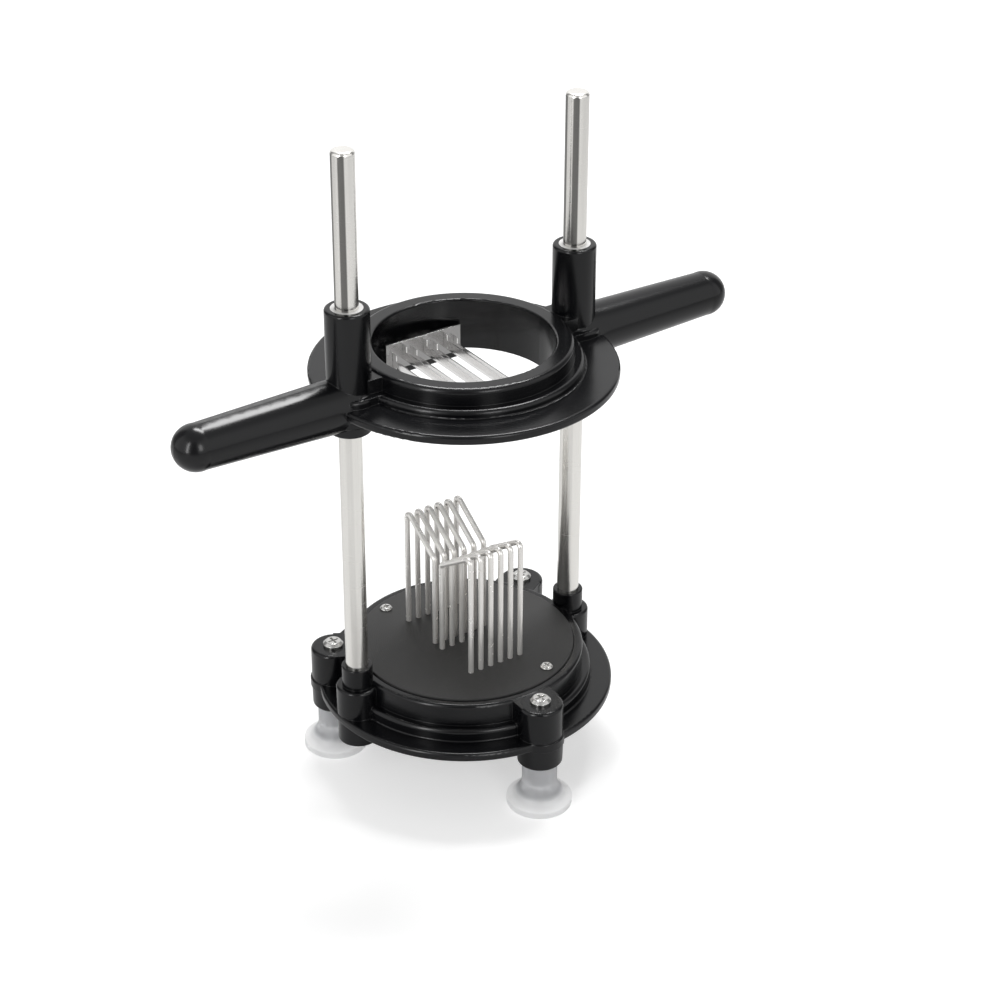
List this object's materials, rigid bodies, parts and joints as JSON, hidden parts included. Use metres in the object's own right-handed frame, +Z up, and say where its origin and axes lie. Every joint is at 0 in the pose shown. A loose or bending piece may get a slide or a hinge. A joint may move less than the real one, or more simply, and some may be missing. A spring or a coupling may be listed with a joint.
{
  "type": "fruit wedger press",
  "caption": "Hand press on suction feet: a ring of blades on a two-handled head slides down twin rods over rows of bent wires on a round base to cut fruit into wedges.",
  "frame": {"origin": "where the press axis meets the table top, in the plane of the suction cups' rims", "axes": "+Z up along the press axis and the guide rods, +X from the left rod to the right rod as seen from the front, -Y towards the single front foot"},
  "size_m": [0.3342, 0.169, 0.3646],
  "materials": {
    "casting": "gloss",
    "plate": "matte",
    "rod_steel": "polished",
    "wire_steel": "polished",
    "blade_steel": "satin",
    "screw_steel": "polished",
    "bush_plastic": "satin",
    "cup_rubber": "translucent"
  },
  "bodies": {
    "base": {"base_casting": "casting", "pusher_plate": "plate", "plate_screws": "screw_steel", "guide_rod_left": "rod_steel", "guide_rod_right": "rod_steel", "rod_screws": "screw_steel", "rod_washers": "screw_steel", "foot_screws": "screw_steel", "cup_inserts": "screw_steel", "suction_cup_front": "cup_rubber", "suction_cup_left": "cup_rubber", "suction_cup_right": "cup_rubber", "wedge_loop_front_1": "wire_steel", "wedge_loop_front_2": "wire_steel", "wedge_loop_front_3": "wire_steel", "wedge_loop_front_4": "wire_steel", "wedge_loop_front_5": "wire_steel", "wedge_loop_front_6": "wire_steel", "wedge_loop_rear_1": "wire_steel", "wedge_loop_rear_2": "wire_steel", "wedge_loop_rear_3": "wire_steel", "wedge_loop_rear_4": "wire_steel", "wedge_loop_rear_5": "wire_steel", "wedge_loop_rear_6": "wire_steel"},
    "head": {"head_casting": "casting", "guide_bush_left_upper": "bush_plastic", "guide_bush_left_lower": "bush_plastic", "guide_bush_right_upper": "bush_plastic", "guide_bush_right_lower": "bush_plastic", "blade_comb_front": "blade_steel", "blade_comb_rear": "blade_steel", "blade_1": "blade_steel", "blade_2": "blade_steel", "blade_3": "blade_steel", "blade_4": "blade_steel", "blade_5": "blade_steel", "blade_6": "blade_steel", "blade_7": "blade_steel", "blade_pin_front": "screw_steel", "blade_pin_rear": "screw_steel", "comb_screws": "screw_steel"}
  },
  "joints": [
    {"name": "head_slide", "type": "slide", "parent": "base", "child": "head", "axis": [0, 0, 1], "range_m": [-0.1407, 0.08]}
  ]
}
